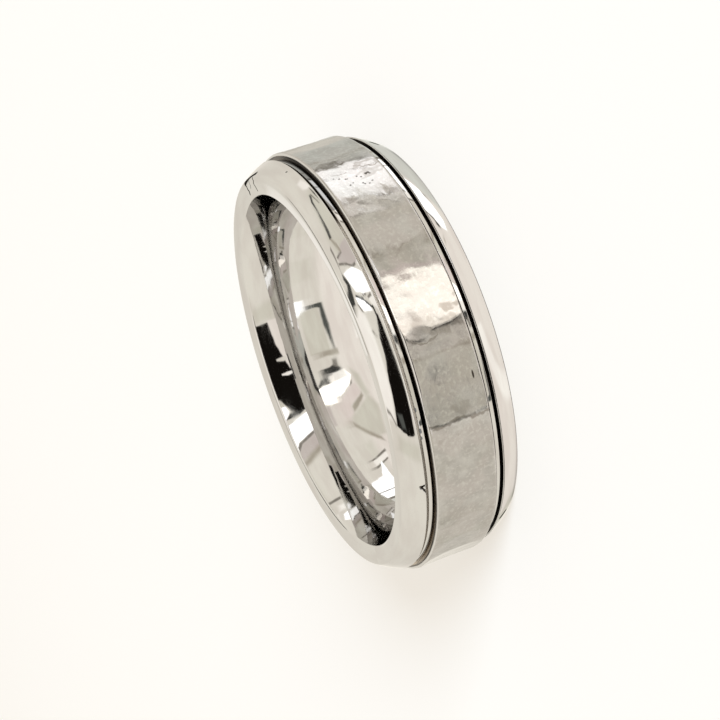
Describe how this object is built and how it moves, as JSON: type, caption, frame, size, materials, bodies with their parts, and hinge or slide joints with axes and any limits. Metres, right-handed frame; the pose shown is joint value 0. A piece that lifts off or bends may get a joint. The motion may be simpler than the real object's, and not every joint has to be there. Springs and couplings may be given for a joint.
{
  "type": "hammered ring",
  "caption": "Plain finger ring with a rounded polished bore, bevelled polished rails, fine twin grooves and a raised satin centre with shallow hammer facets.",
  "frame": {"origin": "on the ring's axis, at the height of the back face it rests on", "axes": "+Z along the ring's axis from the resting back face to the front face; -Y is the side nearest the viewer"},
  "size_m": [0.0232, 0.0232, 0.0065],
  "materials": {
    "white_metal": "polished bore and rails, satin hammered centre, darkened groove floors"
  },
  "bodies": {
    "root": {"ring_band": "white_metal"}
  },
  "joints": []
}
